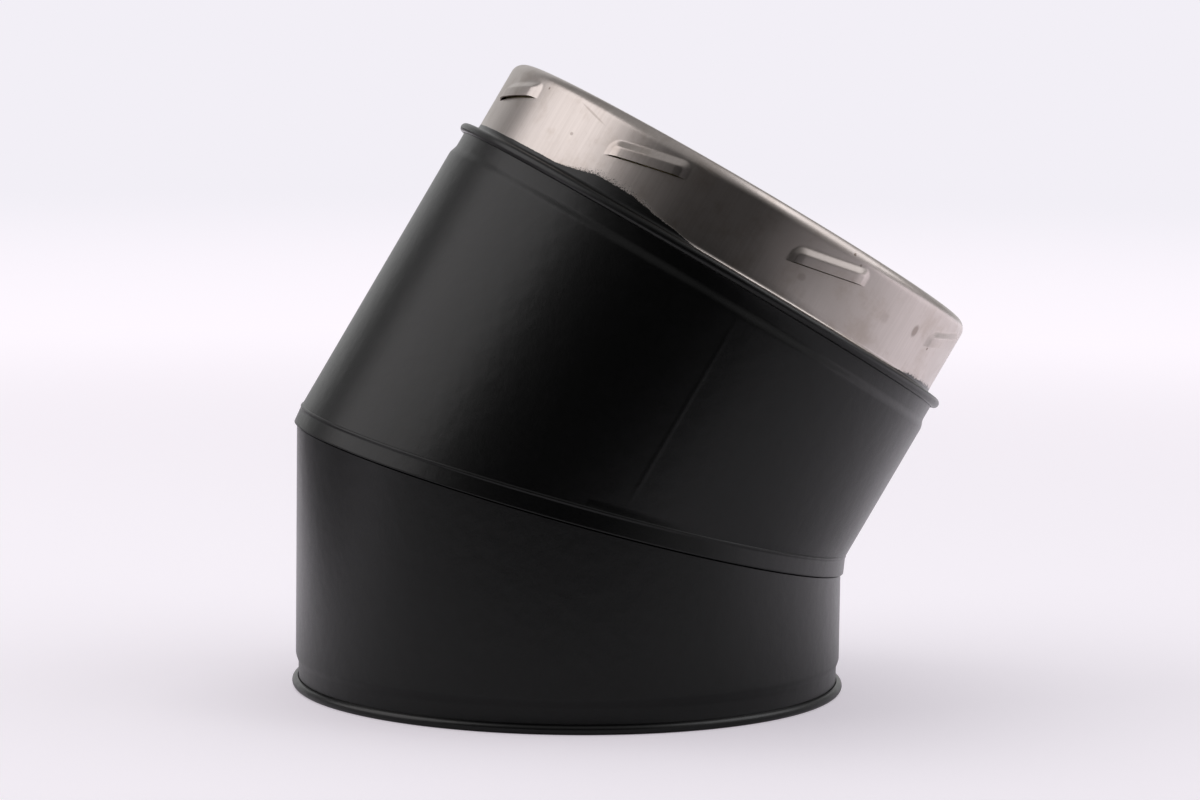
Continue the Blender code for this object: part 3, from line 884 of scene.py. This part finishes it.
def lug_rows(sleeve, slit_z, way):
    """Rows of a lug and of the sleeve beside it, from the slit to past the lug's far edge."""
    ledge = LUG_WIDTH - LUG_FLANK
    ups = [0.0] + between(0.0, LUG_WIDTH - LUG_CORNER, 3) + between(LUG_WIDTH - LUG_CORNER, ledge, 2)
    ups += between(ledge, LUG_WIDTH, 9) + [LUG_WIDTH + LUG_EDGE]
    return [Station(sleeve, slit_z + way * up, 1.0, up, True) for up in ups]


def male_stations():
    """Centre line of the upper coupler, from its hem over the sleeve to the collar on the socket."""
    half = COUPLER_SHEET / 2.0
    sleeve = MALE_R - half
    collar = BORE_R + 2.0 * (LINER_SHEET + TIGHT_GAP) + half
    top = SOCKET_REACH - half
    bend = SLEEVE_CORNER - half
    foot = arc_line(sleeve + SLEEVE_FILLET, half - SLEEVE_FILLET, SLEEVE_FILLET, 90.0, 180.0, 7)
    below = plain_stations(hem_line(-1.0) + [(r, -z) for r, z in foot])
    fade = [Station(sleeve, FADE_START + FADE_STEP * step, FADE_CLIMB * step, None) for step in range(3)]
    roll = Roll(sleeve, top - bend, bend)
    shoulder_start = LUG_HEIGHT + LUG_WIDTH + SHOULDER_GAP
    shoulder_end = roll.start + bend * math.pi / 2.0
    shoulder = []
    for step in range(SHOULDER_ROWS + 1):
        share = step / SHOULDER_ROWS
        height = shoulder_start + (shoulder_end - shoulder_start) * share
        shoulder.append(Station(sleeve, height, SHOULDER_CLIMB * (1.0 - share), None, True))
    end = arc_line(collar + COLLAR_BEND, top - COLLAR_BEND, COLLAR_BEND, 90.0, 180.0, 5)
    end.append((collar, top - COLLAR_BEND - COLLAR_LENGTH))
    rows = lug_rows(sleeve, LUG_HEIGHT, 1.0)
    slit = len(below) + len(fade)
    return below + fade + rows + shoulder + plain_stations(end), slit, roll


def female_stations():
    """Centre line of the lower coupler, from the collar on the liner over the ledge to its hem."""
    half = COUPLER_SHEET / 2.0
    sleeve = FEMALE_R - half
    collar = BORE_R + LINER_SHEET + TIGHT_GAP + half
    top = LEDGE_DEPTH + half
    bend = SLEEVE_CORNER - half
    end = [(collar, top + COLLAR_BEND + COLLAR_LENGTH)]
    end += arc_line(collar + COLLAR_BEND, top + COLLAR_BEND, COLLAR_BEND, 180.0, 270.0, 5)
    shoulder = arc_line(sleeve - bend, top - bend, bend, 90.0, 0.0, 9)
    cut = LUG_HEIGHT - LUG_CATCH
    above = [Station(sleeve, cut + RECESS_ABOVE, RECESS_ABOVE_CLIMB, None)]
    rows = lug_rows(sleeve, cut, -1.0)
    fade = [Station(sleeve, cut - LUG_WIDTH - RECESS_BELOW, RECESS_BELOW_CLIMB, None)]
    foot = arc_line(sleeve + FEMALE_FILLET, half + FEMALE_FILLET, FEMALE_FILLET, 180.0, 270.0, 3)
    below = plain_stations(foot + hem_line(1.0)[::-1])
    slit = len(end) + len(shoulder) + len(above)
    return plain_stations(end + shoulder) + above + rows + fade + below, slit, None


def ring_group():
    """One sector repeated round its leg's axis, welded to its neighbours and set on its rim."""
    group, given, result = node_group(
        "ring_of_sectors",
        "GeometryNodeTree",
        (
            ("Geometry", "Geometry"),
            ("Sectors", "Int"),
            ("Leg Tilt", "Float"),
            ("Rim Centre", "Vector"),
            ("Join Distance", "Float"),
            ("Finish", "Material"),
        ),
        (("Geometry", "Geometry"),),
    )
    seats = put(group, "GeometryNodePoints", {"Count": given.outputs["Sectors"]})
    index = put(group, "GeometryNodeInputIndex")
    share = maths(group, "DIVIDE", 2.0 * math.pi, given.outputs["Sectors"])
    turn = maths(group, "MULTIPLY", index.outputs[0], share)
    spun = put(group, "ShaderNodeCombineXYZ", {"Z": turn})
    copies = {"Instance": given.outputs["Geometry"], "Rotation": spun.outputs[0]}
    placed = put(group, "GeometryNodeInstanceOnPoints", {"Points": seats.outputs[0], **copies})
    tilt = put(group, "ShaderNodeCombineXYZ", {"Y": given.outputs["Leg Tilt"]})
    seat = {"Translation": given.outputs["Rim Centre"], "Rotation": tilt.outputs[0]}
    stood = put(group, "GeometryNodeTransform", {"Geometry": placed.outputs[0], **seat})
    real = put(group, "GeometryNodeRealizeInstances", {0: stood.outputs[0]})
    loose = {"Geometry": real.outputs[0], "Distance": given.outputs["Join Distance"]}
    hand_out(group, put(group, "GeometryNodeMergeByDistance", loose), given, result)
    return group


RING = ring_group()


def degrees_ramp(tree, angle, first, last, out_first=0.0, out_last=1.0):
    """Eased from one value to another while an angle goes from first to last, in degrees."""
    return ramp(tree, angle, math.radians(first), math.radians(last), out_first, out_last)


def weighed(tree, base, *terms):
    """A base value plus each weight times its share."""
    total = base
    for weight, share in terms:
        total = maths(tree, "MULTIPLY_ADD", share, weight, total)
    return total


def degrees_span(tree, angle, first, full, last, gone):
    """0 outside a span of angles and 1 inside it, eased at both ends, in degrees."""
    rising = degrees_ramp(tree, angle, first, full)
    return maths(tree, "MULTIPLY", rising, degrees_ramp(tree, angle, last, gone, 1.0, 0.0))


def length_of(tree, across, upwards):
    """Length of a flat vector."""
    return maths(tree, "SQRT", weighed(tree, 0.0, (across, across), (upwards, upwards)))


def overspray_edge(tree, polar, ragged):
    """Distance above the paint on the upper coupler, and how wide its spray speckles there."""
    front = degrees_ramp(tree, polar.angle, *FRONT_BAND, 1.0, 0.0)
    back = degrees_ramp(tree, polar.angle, *BACK_BAND)
    blob = degrees_span(tree, polar.angle, *BLOB_SPAN)
    rough = degrees_span(tree, polar.angle, *ROUGH_SPAN)
    edge = weighed(tree, OVERSPRAY_LOW, (OVERSPRAY_BAND, front), (OVERSPRAY_BAND, back))
    edge = weighed(tree, edge, (OVERSPRAY_BLOB, blob), (OVERSPRAY_ROUGH, rough))
    waver = weighed(tree, WAVER[0], (WAVER[1], blob), (WAVER[2], rough))
    edge = maths(tree, "MULTIPLY_ADD", waver, ragged, edge)
    spray = weighed(tree, SPRAY[0], (SPRAY[1], blob), (SPRAY[2], rough))
    return maths(tree, "SUBTRACT", polar.height, edge), spray


def inside_edge(tree, polar, ragged):
    """The same on the lower coupler, which is painted outside and on its rim, and bare inside."""
    edge = maths(tree, "MULTIPLY_ADD", ragged, RIM_PAINT_WAVER, RIM_PAINT_R)
    return maths(tree, "SUBTRACT", edge, polar.radius), SPRAY[0]


def marks_share(tree, polar):
    """Small stains and specks, and one long thin dark line, at their places on the sleeve."""
    total = 0.0
    for mark in MARKS:
        across = maths(tree, "SUBTRACT", polar.angle, math.radians(mark.angle))
        across = maths(tree, "MULTIPLY", across, MALE_R / mark.width)
        fallen = maths(tree, "MULTIPLY_ADD", across, -mark.slant * mark.width, mark.height)
        upwards = maths(tree, "DIVIDE", maths(tree, "SUBTRACT", polar.height, fallen), mark.tall)
        share = ramp(tree, length_of(tree, across, upwards), 0.45, 1.0, mark.depth, 0.0)
        total = maths(tree, "MAXIMUM", share, total)
    return total


def painted_steel(name, leg, paint_edge, marked):
    """Brushed stainless whose hem took the casing's paint, up to a ragged edge."""
    look, tree, shader, place = new_look(name)
    local = leg_position(tree, place, leg)
    x, y, height = put(tree, "ShaderNodeSeparateXYZ", {0: local}).outputs
    polar = Polar(maths(tree, "ARCTAN2", y, x), length_of(tree, x, y), height)
    grain = grouped(tree, BRUSHED, {"Leg Position": local, **HAIRS})
    sand = grouped(tree, SANDY, {"Position": place})
    ragged = ramp(tree, noise(tree, local, EDGE_SCALE, 5.0), 0.3, 0.7, -1.0, 1.0)
    above, spray = paint_edge(tree, polar, ragged)
    thinning = maths(tree, "DIVIDE", maths(tree, "MULTIPLY", above, SPRAY_THINNING), spray)
    dots = maths(tree, "SUBTRACT", noise(tree, local, SPRAY_SCALE, 1.0), thinning)
    bare = ramp(tree, above, -EDGE_BLUR, EDGE_BLUR)
    bare = maths(tree, "MULTIPLY", bare, ramp(tree, dots, 0.47, 0.55, 1.0, 0.0))
    cloud = ramp(tree, grain.outputs["Cloud"], 0.30, 0.85)
    hair = ramp(tree, grain.outputs["Hair"], 0.3, 0.7, 0.0, 0.6)
    handled = ramp(tree, noise(tree, local, TARNISH_SCALE, 6.0, 0.68), 0.46, 0.72, 0.0, TARNISH_MOST)
    steel = mixed_color(tree, cloud, STEEL, STEEL_DULL)
    steel = mixed_color(tree, hair, steel, STEEL_DULL)
    steel = mixed_color(tree, handled, steel, STEEL_TARNISH)
    if marked:
        steel = mixed_color(tree, marks_share(tree, polar), steel, STEEL_STAIN)
    color = mixed_color(tree, bare, PAINT, steel)
    polish = ramp(tree, cloud, 0.0, 1.0, *STEEL_ROUGH)
    mixed = {0: bare, 2: paint_roughness(tree, sand), 3: polish}
    rough = put(tree, "ShaderNodeMix", mixed, data_type="FLOAT").outputs[0]
    feed(tree, shader, {"Base Color": color, "Roughness": rough, "Metallic": bare})
    lines = maths(tree, "MULTIPLY", grain.outputs["Hair"], maths(tree, "MULTIPLY", bare, HAIR_HEIGHT))
    spun_place = put(tree, "ShaderNodeCombineXYZ", {0: polar.radius, 2: height}).outputs[0]
    spun = noise(tree, spun_place, SPUN_SCALE)
    film = maths(tree, "MULTIPLY_ADD", spun, SPUN_HEIGHT, sand.outputs["Height"])
    film = maths(tree, "MULTIPLY", maths(tree, "SUBTRACT", 1.0, bare), film)
    raise_bump(tree, shader, maths(tree, "ADD", lines, film), STEEL_GRAIN)
    return look


def coupler_piece(name, profile, push, leg, look):
    """Repeat a coupler's sector round its leg and add the ring as a piece."""
    stations, slit, roll = profile
    values = {
        "Sectors": LUGS,
        "Leg Tilt": leg.tilt,
        "Rim Centre": tuple(leg.rim.to_translation()),
        "Join Distance": JOIN_DISTANCE,
        "Finish": look,
    }
    sector = sector_mesh(name + "_sector", stations, slit, push, roll)
    return add_piece(name, grown_mesh(name, sector, RING, values), look)


male_steel = painted_steel("brushed_steel_upper", UPPER, overspray_edge, True)
female_steel = painted_steel("brushed_steel_lower", LOWER, inside_edge, False)
male = coupler_piece("upper_coupler", male_stations(), 1.0, UPPER, male_steel)
female = coupler_piece("lower_coupler", female_stations(), -1.0, LOWER, female_steel)
for piece, solid in ((male, "male_coupler"), (female, "female_coupler")):
    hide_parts(solid)
    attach(piece, "root")

# ================================================================ studio
# White paper under three softboxes, one on each side and one overhead that leaves no gloss. The room
# behind the camera is dark, and so is the floor past the paper's front and its far left corner,
# which is what the black paint and the steel show.
CAMERA_PLACE = (-0.200977, -1.338744, 0.243757)
CAMERA_YAW = math.radians(8.094)
CAMERA_PITCH = math.radians(-5.847)
CAMERA_ROLL = math.radians(0.745)
CAMERA_LENS = 111.05
CAMERA_SENSOR = 36.0
PAPER = (0.735, 0.722, 0.750)
PAPER_GLOW = (0.375, 0.345, 0.380)
PAPER_BRIGHT = (1.00, 0.945, 1.01)
PAPER_SEEN = (0.888, 0.863, 0.922)
DARK_FLOOR = (0.015, 0.015, 0.015)
PAPER_END = -0.25
PAPER_RIGHT = 0.6
FLOOR_END = -0.80
CORNER_END = -0.29
CORNER_GONE = -0.41
CORNER_DEEP = (0.05, 0.20)
CORNER_DARK = 0.85
PAPER_NEAR = 0.4
PAPER_FAR = 1.6
PAPER_HORIZON = (1.3, 4.0)
GLOW_START = -0.15
GLOW_FULL = 0.35
GLOW_TOP = 1.25
GLOW_SLANT = (-0.12, 0.82)
PAPER_RADIUS = 14.0
FRONT_WALL = 0.012
BACK_WALL = 0.75
LEFT_WALL = 0.12
RIGHT_WALL = 0.30
CEILING = 0.30

eye = bpy.data.cameras.new("eye")
eye.lens = CAMERA_LENS
eye.sensor_width = CAMERA_SENSOR
camera = linked("eye", eye)
ahead = Vector((
    math.sin(CAMERA_YAW) * math.cos(CAMERA_PITCH),
    math.cos(CAMERA_YAW) * math.cos(CAMERA_PITCH),
    math.sin(CAMERA_PITCH),
))
level = Vector((math.cos(CAMERA_YAW), -math.sin(CAMERA_YAW), 0.0))
rolled = Matrix.Rotation(-CAMERA_ROLL, 3, ahead) @ level
upright = rolled.cross(ahead)
facing = Matrix((rolled, upright, -ahead)).transposed().to_4x4()
camera.matrix_world = Matrix.Translation(CAMERA_PLACE) @ facing
bpy.context.scene.camera = camera
bpy.context.scene.view_settings.view_transform = "Standard"


def softbox(name, azimuth, elevation, distance, size, radiance, color):
    """A rectangular lamp that faces the elbow, of a given brightness."""
    lamp = bpy.data.lights.new(name, "AREA")
    lamp.shape = "RECTANGLE"
    lamp.size, lamp.size_y = size
    lamp.energy = math.pi * size[0] * size[1] * radiance
    lamp.color = color
    holder = linked(name, lamp)
    turn = math.radians(azimuth)
    lift = math.radians(elevation)
    away = Vector((math.sin(turn) * math.cos(lift), math.cos(turn) * math.cos(lift), math.sin(lift)))
    holder.location = Vector((0.0, 0.0, 0.1)) + away * distance
    holder.rotation_euler = away.to_track_quat("Z", "Y").to_euler()
    holder.visible_camera = False
    return holder


softbox("left_softbox", -84.0, 35.0, 1.5, (1.55, 1.45), 1.15, (1.0, 0.972, 0.98))
softbox("right_softbox", 96.0, 38.0, 1.7, (1.4, 1.3), 1.2, (0.97, 0.97, 1.0))
above = softbox("top_softbox", 0.0, 68.0, 1.6, (1.5, 1.0), 1.2, (1.0, 1.0, 1.0))
above.visible_glossy = False


def room_world():
    """Pale behind the sweep for the camera; for light and gloss, bright behind and dark in front."""
    world = bpy.data.worlds.new("room")
    world.use_nodes = True
    tree = world.node_tree
    background = tree.nodes["Background"]
    way = put(tree, "ShaderNodeTexCoord").outputs["Generated"]
    x, y, z = put(tree, "ShaderNodeSeparateXYZ", {0: way}).outputs
    brightness = weighed(
        tree,
        FRONT_WALL,
        (BACK_WALL, ramp(tree, y, 0.70, 0.95)),
        (LEFT_WALL, ramp(tree, x, -0.9, -0.5, 1.0, 0.0)),
        (RIGHT_WALL, ramp(tree, x, 0.25, 0.7)),
        (CEILING, ramp(tree, z, 0.35, 0.95)),
    )
    lit = put(tree, "ShaderNodeCombineColor", {0: brightness, 1: brightness, 2: brightness})
    direct = put(tree, "ShaderNodeLightPath").outputs["Is Camera Ray"]
    seen = mixed_color(tree, direct, lit.outputs[0], PAPER_SEEN)
    tree.links.new(seen, background.inputs["Color"])
    bpy.context.scene.world = world


def paper_look():
    """White paper that shows the elbow's soft shadow, and dark floor that only reflections show."""
    look, tree, shader, place = new_look("white_paper")
    feed(tree, shader, {"Roughness": 0.8, "Specular IOR Level": 0.0})
    x, y = put(tree, "ShaderNodeSeparateXYZ", {0: place}).outputs[:2]
    away = put(tree, "ShaderNodeVectorMath", {0: place}, operation="LENGTH").outputs["Value"]
    rightwards = maths(tree, "MAXIMUM", x, 0.0)
    path = put(tree, "ShaderNodeLightPath").outputs
    gone = ramp(tree, x, CORNER_GONE, CORNER_END, CORNER_DARK, 0.0)
    corner = maths(tree, "SUBTRACT", 1.0, maths(tree, "MULTIPLY", gone, ramp(tree, y, *CORNER_DEEP)))
    laid = ramp(tree, weighed(tree, y, (PAPER_RIGHT, rightwards)), FLOOR_END, PAPER_END)
    laid = maths(tree, "MAXIMUM", maths(tree, "MULTIPLY", laid, corner), path["Is Camera Ray"])
    near = ramp(tree, away, PAPER_NEAR, PAPER_FAR, 1.0, 0.0)
    diffuse = mixed_color(tree, near, (0.0, 0.0, 0.0), PAPER)
    tree.links.new(mixed_color(tree, laid, DARK_FLOOR, diffuse), shader.inputs["Base Color"])
    distant = mixed_color(tree, ramp(tree, away, *PAPER_HORIZON), PAPER_BRIGHT, PAPER_SEEN)
    glow = mixed_color(tree, near, distant, PAPER_GLOW)
    mirrored = maths(tree, "ADD", path["Is Glossy Ray"], path["Is Transmission Ray"])
    behind = weighed(tree, y, (GLOW_SLANT[0], x), (GLOW_SLANT[1], rightwards))
    rising = ramp(tree, behind, GLOW_START, GLOW_FULL, 0.0, GLOW_TOP)
    rising = maths(tree, "MULTIPLY", rising, corner)
    strength = weighed(tree, path["Is Camera Ray"], (rising, mirrored))
    fill = put(tree, "ShaderNodeEmission", {"Color": glow, "Strength": strength})
    both = put(tree, "ShaderNodeAddShader", {0: shader.outputs[0], 1: fill.outputs[0]})
    tree.links.new(both.outputs[0], tree.nodes["Material Output"].inputs["Surface"])
    return look


room_world()
bm = bmesh.new()
bmesh.ops.create_circle(bm, cap_ends=True, segments=96, radius=PAPER_RADIUS)
paper_mesh = finished(bm, "paper")
paper_mesh.materials.append(paper_look())
paper = linked("paper", paper_mesh)
